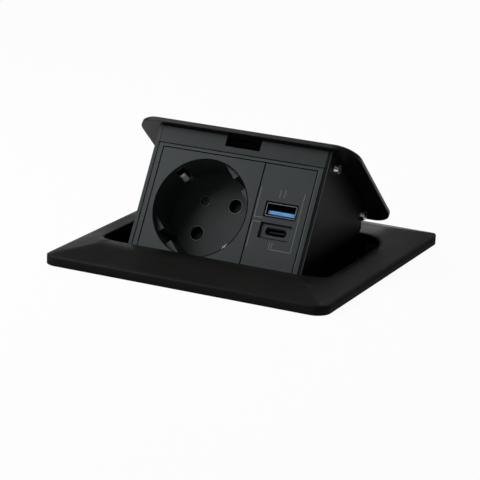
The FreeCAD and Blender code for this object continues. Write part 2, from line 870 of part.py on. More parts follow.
def latch_bolt():
    half = bolt_width / 2
    face = bolt_face()
    low = bolt_bottom()
    high = low + bolt_height
    profile = [(face + bolt_nose, low), (face + bolt_length, low), (face + bolt_length, high),
               (face, high), (face, low + bolt_nose)]
    bolt = side_plate(profile, -half, half)
    pocket = rod(latch_spring_radius + bolt_clearance,
                 (0, face + bolt_length - bolt_pocket, low + bolt_height / 2), (0, 1, 0), bolt_pocket + 1)
    return flipped(bolt.cut(pocket))


def latch_start():
    return bolt_face() + latch_gap + strip_thickness


def latch_housing():
    half = bolt_width / 2 + bolt_clearance + latch_wall
    start = latch_start()
    low = bolt_bottom() - bolt_clearance - latch_wall
    high = lid_underside - part_gap / 2
    body = block((-half, half), (start, start + latch_length), (low, high))
    channel = block((-bolt_width / 2 - bolt_clearance, bolt_width / 2 + bolt_clearance),
                    (start - 1, start + latch_length - latch_wall),
                    (bolt_bottom() - bolt_clearance, bolt_bottom() + bolt_height + bolt_clearance))
    body = body.cut(channel)
    keep = behind_fascia(block((-half - 1, half + 1), (0, module_depth), (module_top + part_gap, 10)))
    return flipped(body.common(keep))


def latch_spring():
    start = bolt_face() + bolt_length - bolt_pocket + part_gap
    end = latch_start() + latch_length - latch_wall - part_gap
    centre = (0, start, bolt_bottom() + bolt_height / 2)
    return flipped(tube(latch_spring_radius + latch_spring_wire, latch_spring_radius - latch_spring_wire,
                        centre, (0, 1, 0), end - start))


# Earthed socket module
def on_socket(shape):
    """Place a piece drawn round the socket's centre, with Y inwards."""
    moved = shape.copy()
    moved.translate(Vector(socket_x, 0, module_middle))
    return on_fascia(moved)


def turned(shape, angle):
    return shape.rotated(Vector(0, 0, 0), Vector(0, 1, 0), -angle)


def deep_rod(radius, x, z, start, end):
    return rod(radius, (x, start, z), (0, 1, 0), end - start)


def pin_places():
    angle = math.radians(pin_axis_turn)
    return [(way * pin_spacing / 2 * math.cos(angle),
             way * pin_spacing / 2 * math.sin(angle)) for way in (1, -1)]


def face_plate_of(width):
    half = width / 2 - part_gap / 2
    tall = module_size / 2 - part_gap / 2
    plate = block((-half, half), (module_recess, module_recess + face_plate), (-tall, tall))
    rim = [edge for edge in plate.Edges if edge.BoundBox.YMax < module_recess + 0.01]
    return plate.makeChamfer(module_bevel, rim)


def earth_slots():
    """Windows in the well's wall that let the earth contacts reach the plug."""
    window = block((well_radius - 4, well_radius + 4), (module_recess + earth_slot_start, well_floor_front),
                   (-earth_slot_width / 2, earth_slot_width / 2))
    return [turned(window, pin_axis_turn + 90 + half) for half in (0, 180)]


def well_flats():
    """Flats that make the well narrower across the pins, each split by a groove."""
    start = module_recess + flat_start
    ring = deep_rod(well_radius + well_wall / 2, 0, 0, start, well_floor_front)
    flat = block((flat_distance, well_radius + well_wall), (start, well_floor_front),
                 (-well_radius, well_radius))
    groove = block((flat_distance - 1, well_radius), (start - 1, well_floor_front + 1),
                   (-flat_groove / 2, flat_groove / 2))
    flat = flat.cut(groove)
    return [turned(flat, pin_axis_turn + half).common(ring) for half in (0, 180)]


def socket_face():
    plate = face_plate_of(module_size)
    cup = deep_rod(well_radius + well_wall, 0, 0, module_recess + 1.0, well_floor_back)
    shape = plate.fuse(cup)
    shape = shape.cut(deep_rod(well_radius, 0, 0, -1, well_floor_front))
    mouth = [edge for edge in shape.Edges if edge.BoundBox.YMax < module_recess + 0.01
             and abs(edge.BoundBox.XLength - 2 * well_radius) < 0.01]
    shape = shape.makeChamfer(well_edge_bevel, mouth)
    for side in well_flats():
        shape = shape.fuse(side)
    for window in earth_slots():
        shape = shape.cut(window)
    for x, z in pin_places():
        shape = shape.cut(deep_rod(pin_hole_radius, x, z, well_floor_front - 1, well_floor_back + 1))
        funnel = Part.makeCone(pin_hole_radius + pin_hole_bevel, pin_hole_radius, pin_hole_bevel,
                               Vector(x, well_floor_front, z), Vector(0, 1, 0))
        shape = shape.cut(funnel)
    angle = math.radians(pin_axis_turn + 90)
    dimple = deep_rod(dimple_radius, dimple_offset * math.cos(angle), dimple_offset * math.sin(angle),
                      well_floor_front - 1, well_floor_front + dimple_depth)
    return on_socket(shape.cut(dimple).removeSplitter())


def earth_strip():
    """Yoke under the well's floor, with two sprung arms bent in through the slots."""
    half = earth_strip_width / 2
    wall = earth_strip_wall
    out = well_radius + well_wall + earth_arm_gap
    back = well_floor_back + shutter_gap / 2
    tip = module_recess + earth_contact_depth
    bend = tip + earth_spring_length
    end = out - earth_tip_inset
    outline = [Vector(x, y, -half) for x, y in (
        (0, back + wall), (out + wall, back + wall), (out + wall, bend), (earth_contact_radius + wall, tip),
        (end + wall, tip - earth_tip_reach), (end, tip - earth_tip_reach), (earth_contact_radius, tip),
        (out, bend + wall), (out, back), (0, back))]
    arm = Part.Face(Part.makePolygon(outline + outline[:1])).extrude(Vector(0, 0, 2 * half))
    yoke = arm.fuse(turned(arm, 180)).removeSplitter()
    return on_socket(turned(yoke, pin_axis_turn + 90))


def socket_body():
    half = body_size / 2
    start = well_floor_back + fixed_fit
    wall = socket_body_wall
    body = block((-half, half), (start, module_depth), (-half, half))
    inner = block((wall - half, half - wall), (start - 1, module_depth - wall), (wall - half, half - wall))
    body = body.cut(inner)
    hub = deep_rod(shutter_hub_radius - running_fit, 0, 0, shutter_front - shutter_gap / 2, module_depth)
    return on_socket(body.fuse(hub).removeSplitter())


def shutter():
    """Bar that turns on the hub and covers both pin holes."""
    bar = block((-shutter_reach, shutter_reach), (shutter_front, shutter_back),
                (-shutter_half_width, shutter_half_width))
    ends = [edge for edge in bar.Edges if edge.BoundBox.YLength > 1]
    bar = bar.makeFillet(shutter_half_width * 0.8, ends)
    hub = deep_rod(shutter_hub_radius + shutter_collar, 0, 0, shutter_front,
                   shutter_back + shutter_collar_rise)
    bore = deep_rod(shutter_hub_radius, 0, 0, shutter_front - 1, shutter_back + 2 * shutter_collar_rise)
    return on_socket(turned(bar, pin_axis_turn).fuse(hub).cut(bore).removeSplitter())


def shutter_spring():
    wire = shutter_spring_wire
    return on_socket(tube(shutter_spring_radius + wire, shutter_spring_radius - wire,
                          (0, shutter_back + part_gap, 0),
                          (0, 1, 0), shutter_spring_length))


def pin_contact(place):
    """Split sleeve that grips a plug pin, on a terminal block."""
    x, z = place
    sleeve = deep_rod(sleeve_outer_radius, x, z, sleeve_front, sleeve_back)
    centre, back = terminal_place(place)
    half = terminal_size / 2
    block_x = sorted((x, centre + math.copysign(half, x)))
    terminal = block(block_x, (back - half, back + half), (z - half, z + half))
    shape = sleeve.fuse(terminal)
    shape = shape.cut(deep_rod(sleeve_outer_radius - sleeve_wall, x, z, sleeve_front - 1,
                               sleeve_back - sleeve_wall))
    slot = block((x - 2 * sleeve_outer_radius, x + 2 * sleeve_outer_radius),
                 (sleeve_front - 1, (sleeve_front + sleeve_back) / 2),
                 (z - sleeve_slot / 2, z + sleeve_slot / 2))
    hole = rod(terminal_screw_radius + screw_hole_gap, (centre, back, z - half - 1), (0, 0, 1), half + 1)
    return on_socket(shape.cut(slot).cut(hole).removeSplitter())


def terminal_place(place):
    """X and depth of the middle of a contact's terminal block."""
    centre = place[0] + math.copysign(sleeve_outer_radius + terminal_size / 2, place[0])
    return centre, module_depth - socket_body_wall - part_gap - terminal_size / 2


def terminal_screws():
    screws = []
    for x, z in pin_places():
        centre, back = terminal_place((x, z))
        low = z - terminal_size / 2
        shank = placed(shank_prism(terminal_screw_radius, terminal_size / 2 - part_gap),
                       (centre, back, low - part_gap))
        head = rod(terminal_screw_radius + terminal_screw_lip, (centre, back, low - terminal_screw_proud),
                   (0, 0, 1), terminal_screw_proud - part_gap)
        screws.append(shank.fuse(head).removeSplitter())
    return on_socket(Part.makeCompound(screws))


# USB charger module
def on_usb(shape):
    moved = shape.copy()
    moved.translate(Vector(usb_x, 0, module_middle))
    return on_fascia(moved)


def port(width, height, middle, depth, radius):
    """Prism of a port's section, with rounded corners, along the depth."""
    shape = block((-width / 2, width / 2), depth, (middle - height / 2, middle + height / 2))
    edges = [edge for edge in shape.Edges if edge.BoundBox.YLength > 1e-6
             and edge.BoundBox.XLength < 1e-6 and edge.BoundBox.ZLength < 1e-6]
    return shape.makeFillet(radius, edges)


def usb_face():
    plate = face_plate_of(usb_module_width)
    deep = (-1, module_recess + face_plate + 1)
    plate = plate.cut(port(usb_a_width + 2 * usb_a_hole_gap, usb_a_height + 2 * usb_a_hole_gap,
                           usb_a_rise, deep, usb_a_corner))
    plate = plate.cut(port(usb_c_width + 2 * usb_c_hole_gap, usb_c_height + 2 * usb_c_hole_gap,
                           -usb_c_drop, deep, usb_c_height / 2))
    recess = (-1, module_recess + usb_c_recess_depth)
    plate = plate.cut(port(usb_c_recess_width, usb_c_recess_height, -usb_c_drop, recess, 0.5))
    return on_usb(plate)


def port_shell(width, height, middle, start, radius):
    wall = usb_shell_wall
    outer = port(width, height, middle, (start, board_depth), radius)
    inner = port(width - 2 * wall, height - 2 * wall, middle, (start - 1, board_depth - wall),
                 radius - wall)
    return outer.cut(inner)


def usb_a_shell():
    start = module_recess + usb_a_shell_setback
    return on_usb(port_shell(usb_a_width, usb_a_height, usb_a_rise, start, usb_a_corner))


def usb_c_shell():
    start = module_recess + usb_c_recess_depth + usb_c_shell_setback
    return on_usb(port_shell(usb_c_width, usb_c_height, -usb_c_drop, start, usb_c_height / 2 - 0.01))


def tongue_middle():
    return usb_a_rise - usb_a_tongue_drop


def usb_a_tongue():
    half = usb_a_tongue_height / 2
    middle = tongue_middle()
    blade = block((-usb_a_tongue_width / 2, usb_a_tongue_width / 2),
                  (module_recess + tongue_setback, board_depth - usb_shell_wall - part_gap / 2),
                  (middle - half, middle + half))
    front = [edge for edge in blade.Edges if edge.BoundBox.YMax < module_recess + tongue_setback + 0.01
             and edge.BoundBox.XLength > 1]
    blade = blade.makeChamfer(0.3, front)
    spare = usb_shell_wall + 0.2
    root = block((-usb_a_width / 2 + spare, usb_a_width / 2 - spare),
                 (board_depth - tongue_root, board_depth - usb_shell_wall - part_gap / 2),
                 (usb_a_rise - usb_a_height / 2 + spare, usb_a_rise + usb_a_height / 2 - spare))
    return on_usb(blade.fuse(root).removeSplitter())


def usb_a_contacts():
    top = tongue_middle() + usb_a_tongue_height / 2
    pads = []
    for x in (-usb_a_pad_outer, -usb_a_pad_inner, usb_a_pad_inner, usb_a_pad_outer):
        pads.append(block((x - contact_pad_width / 2, x + contact_pad_width / 2),
                          (module_recess + tongue_setback + contact_pad_width,
                           board_depth - tongue_root - 2 * part_gap),
                          (top, top + contact_pad_height)))
    return on_usb(Part.makeCompound(pads))


def usb_c_tongue():
    half = usb_c_tongue_height / 2
    start = module_recess + usb_c_recess_depth + usb_c_shell_setback + usb_c_tongue_setback
    end = board_depth - usb_shell_wall - part_gap / 2
    blade = block((-usb_c_tongue_width / 2, usb_c_tongue_width / 2), (start, end),
                  (-usb_c_drop - half, -usb_c_drop + half))
    root = port(usb_c_width - 2 * usb_shell_wall - 0.1, usb_c_height - 2 * usb_shell_wall - 0.1,
                -usb_c_drop, (end - tongue_root, end), usb_c_height / 2 - usb_shell_wall - 0.06)
    return on_usb(blade.fuse(root).removeSplitter())


def charger_board():
    half = usb_module_width / 2 - case_wall - 2 * part_gap
    return on_usb(block((-half, half), (board_depth + 0.05, board_depth + board_thickness),
                        (-board_height / 2, board_height / 2)))


def board_parts():
    """Transformer and two capacitors soldered to the back of the board."""
    start = board_depth + board_thickness
    core = block((-transformer_width / 2, transformer_width / 2), (start, start + transformer_depth),
                 (board_height / 2 - transformer_height - board_edge, board_height / 2 - board_edge))
    cans = []
    for z in (-capacitor_drop, -capacitor_drop - capacitor_pitch):
        cans.append(deep_rod(capacitor_radius, 0, z, start, start + capacitor_length))
    return on_usb(Part.makeCompound([core] + cans))


def charger_case():
    half = usb_module_width / 2 - 2 * part_gap
    tall = body_size / 2
    start = module_recess + face_plate + fixed_fit
    shell = block((-half, half), (start, module_depth), (-tall, tall))
    inner = block((case_wall - half, half - case_wall), (start - 1, module_depth - case_wall),
                  (case_wall - tall, tall - case_wall))
    return on_usb(shell.cut(inner))


def all_parts():
    contacts = pin_places()
    bracket = hinge_bracket()
    right = cheek()
    return {
        "surface_frame": surface_frame(),
        "frame_gasket": frame_gasket(),
        "back_box": back_box(),
        "box_screws": box_screws(),
        "box_earth_screw": box_earth_screw(),
        "gland_body": gland_body(),
        "gland_seal": gland_seal(),
        "gland_cap": gland_cap(),
        "gland_locknut": gland_locknut(),
        "hinge_bracket_right": bracket,
        "hinge_bracket_left": mirrored(bracket),
        "bracket_screws": bracket_screws(),
        "hinge_shaft": hinge_shaft(),
        "shaft_clips": shaft_clips(),
        "hinge_washers": hinge_washers(),
        "flip_springs": flip_springs(),
        "lid_plate": lid_plate(),
        "cheek_right": right,
        "cheek_left": mirrored(right),
        "cheek_screws": cheek_screws(),
        "tie_rod": tie_rod(),
        "latch_strip": latch_strip(),
        "fascia_bezel": fascia_bezel(),
        "rear_cover": rear_cover(),
        "cover_grommet": cover_grommet(),
        "latch_bolt": latch_bolt(),
        "latch_housing": latch_housing(),
        "latch_spring": latch_spring(),
        "socket_face": socket_face(),
        "earth_strip": earth_strip(),
        "socket_body": socket_body(),
        "pin_shutter": shutter(),
        "shutter_spring": shutter_spring(),
        "live_contact": pin_contact(contacts[0]),
        "neutral_contact": pin_contact(contacts[1]),
        "terminal_screws": terminal_screws(),
        "usb_face": usb_face(),
        "usb_a_shell": usb_a_shell(),
        "usb_a_tongue": usb_a_tongue(),
        "usb_a_contacts": usb_a_contacts(),
        "usb_c_shell": usb_c_shell(),
        "usb_c_tongue": usb_c_tongue(),
        "charger_board": charger_board(),
        "board_parts": board_parts(),
        "charger_case": charger_case(),
    }


os.makedirs("parts", exist_ok=True)
for name, shape in all_parts().items():
    shape.exportStep("parts/" + name + ".step")
    print(name, len(shape.Solids), "valid" if shape.isValid() else "BROKEN", round(shape.Volume, 1))
print("hinge axis", round(hinge_y, 3), round(hinge_z, 3))
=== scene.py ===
import math

import bmesh
import bpy
from mathutils import Matrix, Vector


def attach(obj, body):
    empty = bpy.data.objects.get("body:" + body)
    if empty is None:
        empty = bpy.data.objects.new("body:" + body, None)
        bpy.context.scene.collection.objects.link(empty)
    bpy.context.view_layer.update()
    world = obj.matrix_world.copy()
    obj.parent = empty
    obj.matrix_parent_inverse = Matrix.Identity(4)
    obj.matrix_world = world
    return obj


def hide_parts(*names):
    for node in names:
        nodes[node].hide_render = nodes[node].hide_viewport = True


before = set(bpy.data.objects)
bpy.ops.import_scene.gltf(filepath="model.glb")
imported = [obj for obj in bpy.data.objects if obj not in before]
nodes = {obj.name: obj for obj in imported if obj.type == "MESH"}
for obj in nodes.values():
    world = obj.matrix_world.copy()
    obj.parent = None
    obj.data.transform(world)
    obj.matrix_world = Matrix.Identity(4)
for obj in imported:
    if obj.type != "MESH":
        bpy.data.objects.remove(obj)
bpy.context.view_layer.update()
mm = 0.001
white = "#ffffff"
print("frame loaded:", len(nodes), "nodes")

# The Mix node's sockets go by number, since their names repeat: the share, then A and B of each kind
mixShare, numberA, numberB, colourA, colourB = 0, 2, 3, 6, 7
mixedNumber, mixedColour = 0, 2
samples = {"corner": 4, "openness": 8}   # rays per hit, enough that neither shows as noise


def linear(hexCode):
    # sRGB hex to the linear colour that the shaders want, by the standard's own curve
    parts = [int(hexCode[i:i + 2], 16) / 255 for i in (1, 3, 5)]
    return [p / 12.92 if p <= 0.04045 else ((p + 0.055) / 1.055) ** 2.4 for p in parts] + [1.0]


def perMetre(sizeMm):
    # scale of a noise whose patches are about this wide
    return 1 / (sizeMm * mm)


def addNode(tree, kind, values=None, links=None, **settings):
    made = tree.nodes.new(kind)
    for key, value in settings.items():
        setattr(made, key, value)
    for key, value in (values or {}).items():
        made.inputs[key].default_value = value
    for key, source in (links or {}).items():
        tree.links.new(source, made.inputs[key])
    return made


def newMaterial(name):
    material = bpy.data.materials.new(name)
    material.use_nodes = True
    material.node_tree.nodes.clear()
    return material, material.node_tree


def coverSurface(tree, look, shader, colour, rough, relief):
    # corners rounded for the light alone, the relief over them, then the shader with its constants
    soft = addNode(tree, "ShaderNodeBevel", {"Radius": look["edgeMm"] * mm}, samples=samples["corner"])
    bump = addNode(tree, "ShaderNodeBump", {"Strength": look["bump"], "Distance": look["reliefMm"] * mm},
                   {"Height": relief, "Normal": soft.outputs[0]})
    made = addNode(tree, "ShaderNodeBsdfPrincipled", shader,
                   {"Base Color": colour, "Roughness": rough, "Normal": bump.outputs[0]})
    addNode(tree, "ShaderNodeOutputMaterial", links={"Surface": made.outputs[0]})


# Shared by all plastics. Most of a noise lies in noiseSpan. paintedHighlightSpan and paintedShadeSpan are
# how open a spot is where its painted highlight or painted shade starts and where it is full
plasticBase = {"uneven": 0.05, "noiseSpan": (0.3, 0.7), "cloudDetail": 3.0, "grainDetail": 2.0,
               "reliefMm": 0.03, "rimBlendMm": 0.6, "paintedHighlightSpan": (0.8, 0.5), "paintedShadeSpan": (0.62, 0.25)}


def mouldedPlastic(name, look):
    # injection moulded: faint clouding from the flow, spark-eroded grain, corners that the mould leaves soft
    look = plasticBase | look
    material, tree = newMaterial(name)
    place = addNode(tree, "ShaderNodeTexCoord").outputs["Object"]
    cloud = addNode(tree, "ShaderNodeTexNoise",
                    {"Scale": perMetre(look["cloudMm"]), "Detail": look["cloudDetail"]}, {"Vector": place})
    grain = addNode(tree, "ShaderNodeTexNoise",
                    {"Scale": perMetre(look["grainMm"]), "Detail": look["grainDetail"]}, {"Vector": place})
    colour = addNode(tree, "ShaderNodeMix", {colourA: linear(look["dark"]), colourB: linear(look["light"])},
                     {mixShare: cloud.outputs[0]}, data_type="RGBA").outputs[mixedColour]
    rough = addNode(tree, "ShaderNodeMapRange",
                    {"From Min": look["noiseSpan"][0], "From Max": look["noiseSpan"][1],
                     "To Min": look["rough"] - look["uneven"], "To Max": look["rough"] + look["uneven"]},
                    {"Value": cloud.outputs[0]}).outputs[0]
    if "rimMm" in look:   # the upright rim is left dull, as the mould's parting face leaves it
        rise = addNode(tree, "ShaderNodeSeparateXYZ", links={"Vector": place}).outputs["Z"]
        above = addNode(tree, "ShaderNodeMapRange",
                        {"From Min": (look["rimMm"] - look["rimBlendMm"]) * mm,
                         "From Max": look["rimMm"] * mm}, {"Value": rise})
        rough = addNode(tree, "ShaderNodeMix", {numberA: look["rimRough"]},
                        {mixShare: above.outputs[0], numberB: rough}).outputs[mixedNumber]
    # painted highlight: open sharp edges are painted pale; painted shade: gaps and hollows are painted dark
    for tone, inside in (("paintedHighlight", True), ("paintedShade", False)):
        if tone in look:
            start, full = look[tone + "Span"]
            clear = addNode(tree, "ShaderNodeAmbientOcclusion", {"Distance": look[tone + "Mm"] * mm},
                            samples=samples["openness"], inside=inside)
            share = addNode(tree, "ShaderNodeMapRange", {"From Min": start, "From Max": full},
                            {"Value": clear.outputs["AO"]})
            toned = addNode(tree, "ShaderNodeMix", {colourB: linear(look[tone])},
                            {mixShare: share.outputs[0], colourA: colour}, data_type="RGBA")
            colour = toned.outputs[mixedColour]
    coverSurface(tree, look, {"IOR": look["ior"], "Specular IOR Level": look["specular"]},
                 colour, rough, grain.outputs[0])
    return material


# Shared by all powder coats. The fascia faces ahead when flipped up; facing and leftMm are where the
# painted highlight on the fronts starts and where it is full
coatBase = {"peelDetail": 2.0, "cloudDetail": 4.0, "glossier": 0.06, "duller": 0.08, "reliefMm": 0.03,
            "ior": 1.5, "ahead": (0.0, -0.876, 0.483), "facing": (0.85, 0.97), "leftMm": (-1, -2),
            "arrisBlendMm": 0.1}


def coatedSteel(name, look):
    # baked powder on steel: orange peel where it melted, faint clouding, edges that the coat rounds
    look = coatBase | look
    material, tree = newMaterial(name)
    texture = addNode(tree, "ShaderNodeTexCoord")
    place = texture.outputs["Object"]
    peel = addNode(tree, "ShaderNodeTexNoise",
                   {"Scale": perMetre(look["peelMm"]), "Detail": look["peelDetail"]}, {"Vector": place})
    cloud = addNode(tree, "ShaderNodeTexNoise",
                    {"Scale": perMetre(look["cloudMm"]), "Detail": look["cloudDetail"]}, {"Vector": place})
    colour = addNode(tree, "ShaderNodeMix", {colourA: linear(look["dark"]), colourB: linear(look["light"])},
                     {mixShare: cloud.outputs[0]}, data_type="RGBA").outputs[mixedColour]
    if "frontsPaintedHighlight" in look:   # painted highlight: the left cheek's front edge and the right one's outer arris, grey as the strip
        faces = addNode(tree, "ShaderNodeVectorMath", {1: look["ahead"]}, {0: texture.outputs["Normal"]},
                        operation="DOT_PRODUCT")
        front = addNode(tree, "ShaderNodeMapRange",
                        {"From Min": look["facing"][0], "From Max": look["facing"][1]},
                        {"Value": faces.outputs["Value"]})
        across = addNode(tree, "ShaderNodeSeparateXYZ", links={"Vector": place}).outputs["X"]
        outer = addNode(tree, "ShaderNodeMapRange",
                        {"From Min": (look["arrisMm"] - look["arrisBlendMm"]) * mm,
                         "From Max": (look["arrisMm"] + look["arrisBlendMm"]) * mm}, {"Value": across})
        left = addNode(tree, "ShaderNodeMapRange",
                       {"From Min": look["leftMm"][0] * mm, "From Max": look["leftMm"][1] * mm},
                       {"Value": across})
        either = addNode(tree, "ShaderNodeMath", links={0: outer.outputs[0], 1: left.outputs[0]},
                         operation="MAXIMUM")
        share = addNode(tree, "ShaderNodeMath", links={0: front.outputs[0], 1: either.outputs[0]},
                        operation="MULTIPLY")
        toned = addNode(tree, "ShaderNodeMix", {colourB: linear(look["frontsPaintedHighlight"])},
                        {mixShare: share.outputs[0], colourA: colour}, data_type="RGBA")
        colour = toned.outputs[mixedColour]
    rough = addNode(tree, "ShaderNodeMapRange",
                    {"To Min": look["rough"] - look["glossier"], "To Max": look["rough"] + look["duller"]},
                    {"Value": cloud.outputs[0]})
    coverSurface(tree, look, {"IOR": look["ior"], "Specular IOR Level": look["specular"]},
                 colour, rough.outputs[0], peel.outputs[0])
    return material


# Shared by the plated metals and the galvanised sheet
metalBase = {"edgeMm": 0.12, "bump": 0.12, "reliefMm": 0.02, "detail": 3.0, "glossier": 0.08, "duller": 0.1}


def platedMetal(name, look):
    # plated or bare metal: fine streaks in the gloss from rolling, patches a shade lighter or darker
    look = metalBase | look
    material, tree = newMaterial(name)
    place = addNode(tree, "ShaderNodeTexCoord").outputs["Object"]
    drawn = addNode(tree, "ShaderNodeMapping", {"Scale": look["drawn"]}, {"Vector": place})
    streak = addNode(tree, "ShaderNodeTexNoise",
                     {"Scale": perMetre(look["streakMm"]), "Detail": look["detail"]},
                     {"Vector": drawn.outputs[0]})
    patch = addNode(tree, "ShaderNodeTexNoise",
                    {"Scale": perMetre(look["patchMm"]), "Detail": look["detail"]}, {"Vector": place})
    colour = addNode(tree, "ShaderNodeMix", {colourA: linear(look["dark"]), colourB: linear(look["light"])},
                     {mixShare: patch.outputs[0]}, data_type="RGBA")
    rough = addNode(tree, "ShaderNodeMapRange",
                    {"To Min": look["rough"] - look["glossier"], "To Max": look["rough"] + look["duller"]},
                    {"Value": streak.outputs[0]})
    coverSurface(tree, look, {"Metallic": 1.0}, colour.outputs[mixedColour], rough.outputs[0],
                 streak.outputs[0])
    return material


def galvanisedSteel(name, look):
    # hot-dip zinc: angular spangles, each crystal a little brighter or duller than the next
    look = metalBase | look
    material, tree = newMaterial(name)
    place = addNode(tree, "ShaderNodeTexCoord").outputs["Object"]
    spangle = addNode(tree, "ShaderNodeTexVoronoi", {"Scale": perMetre(look["spangleMm"])}, {"Vector": place})
    shade = addNode(tree, "ShaderNodeSeparateColor", links={"Color": spangle.outputs["Color"]})
    colour = addNode(tree, "ShaderNodeMix", {colourA: linear(look["dark"]), colourB: linear(look["light"])},
                     {mixShare: shade.outputs["Red"]}, data_type="RGBA")
    rough = addNode(tree, "ShaderNodeMapRange",
                    {"To Min": look["rough"] - look["glossier"], "To Max": look["rough"] + look["duller"]},
                    {"Value": shade.outputs["Green"]})
    coverSurface(tree, look, {"Metallic": 1.0}, colour.outputs[mixedColour], rough.outputs[0],
                 shade.outputs["Blue"])
    return material


def printedInk(name, look):
    # pad-printed grey ink, worn a little unevenly
    material, tree = newMaterial(name)
    place = addNode(tree, "ShaderNodeTexCoord").outputs["Object"]
    worn = addNode(tree, "ShaderNodeTexNoise",
                   {"Scale": perMetre(look["wornMm"]), "Detail": look["detail"]}, {"Vector": place})
    colour = addNode(tree, "ShaderNodeMix", {colourA: linear(look["dark"]), colourB: linear(look["light"])},
                     {mixShare: worn.outputs[0]}, data_type="RGBA")
    shader = addNode(tree, "ShaderNodeBsdfPrincipled",
                     {"Roughness": look["rough"], "Specular IOR Level": look["specular"]},
                     {"Base Color": colour.outputs[mixedColour]})
    addNode(tree, "ShaderNodeOutputMaterial", links={"Surface": shader.outputs[0]})
    return material


plasticLooks = {
    # semi-gloss black, dark in the flange with soft reflections
    "mouldedPolycarbonateFrame": {
        "dark": "#0f0f0e", "light": "#151514", "rough": 0.37, "uneven": 0.09, "specular": 0.11, "ior": 1.5,
        "cloudMm": 22, "grainMm": 0.5, "bump": 0.08, "edgeMm": 3.5, "rimMm": 3.6, "rimRough": 0.9},
    # fine matt slate grey of the two modules, sharp edges painted pale as highlight, gaps painted dark as
    # shade
    "mouldedPolycarbonateModule": {
        "dark": "#2b3031", "light": "#313637", "rough": 0.55, "specular": 0.2, "ior": 1.58,
        "cloudMm": 12, "grainMm": 0.35, "bump": 0.3, "edgeMm": 0.12,
        "paintedHighlight": "#565c5e", "paintedHighlightMm": 0.35, "paintedShade": "#020202", "paintedShadeMm": 1.5},
    # thin lips of the same plastic, painted much lighter as a highlight on the holes' rims
    "lipPaintedHighlight": {
        "dark": "#707678", "light": "#7f8587", "rough": 0.4, "specular": 0.4, "ior": 1.58,
        "cloudMm": 12, "grainMm": 0.35, "bump": 0.1, "edgeMm": 0.1},
    # the carrier frame round the modules, the same matt grey, with the same painted highlight and painted
    # shade
    "mouldedAbsBezel": {
        "dark": "#2d3233", "light": "#343a3b", "rough": 0.52, "specular": 0.2, "ior": 1.53,
        "cloudMm": 9, "grainMm": 0.35, "bump": 0.3, "edgeMm": 0.12,
        "paintedHighlight": "#565c5e", "paintedHighlightMm": 0.35, "paintedShade": "#020202", "paintedShadeMm": 1.5},
    # black glass-filled nylon, dull with a dry grain
    "mouldedNylonBlack": {
        "dark": "#090909", "light": "#101010", "rough": 0.6, "specular": 0.15, "ior": 1.53,
        "cloudMm": 6, "grainMm": 0.4, "bump": 0.5, "edgeMm": 0.2},
    # mid grey nylon of cable glands
    "mouldedNylonGrey": {
        "dark": "#5c5f61", "light": "#686b6d", "rough": 0.45, "specular": 0.4, "ior": 1.53,
        "cloudMm": 7, "grainMm": 0.5, "bump": 0.4, "edgeMm": 0.4},
    # back shells of the modules, dark and dull
    "mouldedPbtShell": {
        "dark": "#1d2022", "light": "#24282a", "rough": 0.55, "specular": 0.35, "ior": 1.57,
        "cloudMm": 10, "grainMm": 0.4, "bump": 0.4, "edgeMm": 0.4},
    # bright blue tongue of a fast port, edges painted pale as highlight, painted deep blue as shade inside
    # the shell
    "mouldedPbtBlue": {
        "dark": "#2f86cf", "light": "#5aa9ea", "rough": 0.3, "specular": 0.5, "ior": 1.57,
        "cloudMm": 4, "grainMm": 0.3, "bump": 0.15, "edgeMm": 0.4,
        "paintedHighlight": "#8cc6f4", "paintedHighlightMm": 0.3, "paintedShade": "#06336e", "paintedShadeMm": 5},
    # solder-masked glass epoxy
    "solderMaskedEpoxy": {
        "dark": "#0d3a20", "light": "#14502c", "rough": 0.3, "specular": 0.5, "ior": 1.55,
        "cloudMm": 3, "grainMm": 0.4, "bump": 0.3, "edgeMm": 0.1},
    # varnished ferrite and shrink sleeves
    "varnishedFerrite": {
        "dark": "#1a1a1d", "light": "#26262a", "rough": 0.35, "specular": 0.5, "ior": 1.55,
        "cloudMm": 3, "grainMm": 0.5, "bump": 0.4, "edgeMm": 0.3},
    # near-black strips down in the joints as painted shadow, so dull that a joint reads as a dark line
    "seamPaintedShadow": {
        "dark": "#030303", "light": "#070707", "rough": 0.85, "specular": 0.05, "ior": 1.52,
        "cloudMm": 5, "grainMm": 0.4, "bump": 0.4, "edgeMm": 0.1},
    # soft black rubber, dull and faintly dusty
    "mouldedRubberBlack": {
        "dark": "#0f0f0f", "light": "#191918", "rough": 0.75, "specular": 0.3, "ior": 1.52,
        "cloudMm": 5, "grainMm": 0.6, "bump": 0.6, "edgeMm": 0.3},
}
coatLooks = {
    # lid: satin black powder, fine peel
    "powderCoatedLid": {
        "dark": "#0e0e0f", "light": "#141415", "rough": 0.42, "specular": 0.17,
        "cloudMm": 25, "peelMm": 0.9, "bump": 0.5, "edgeMm": 0.5},
    # cheeks and cover: the same coat on thin sheet, with front edges painted grey as highlight
    "powderCoatedCheek": {
        "dark": "#0b0b0c", "light": "#111112", "rough": 0.48, "specular": 0.06,
        "cloudMm": 15, "peelMm": 0.6, "bump": 0.2, "edgeMm": 0.3, "frontsPaintedHighlight": "#3f4547", "arrisMm": 37.1},
    # strip under the lid: the grey of the modules, painted
    "powderCoatedStrip": {
        "dark": "#24292a", "light": "#2a2f30", "rough": 0.5, "specular": 0.2,
        "cloudMm": 12, "peelMm": 0.5, "bump": 0.25, "edgeMm": 0.2},
}
evenly = (1, 1, 1)   # drawn squeezes the streaks: the higher a number, the shorter they are along that axis
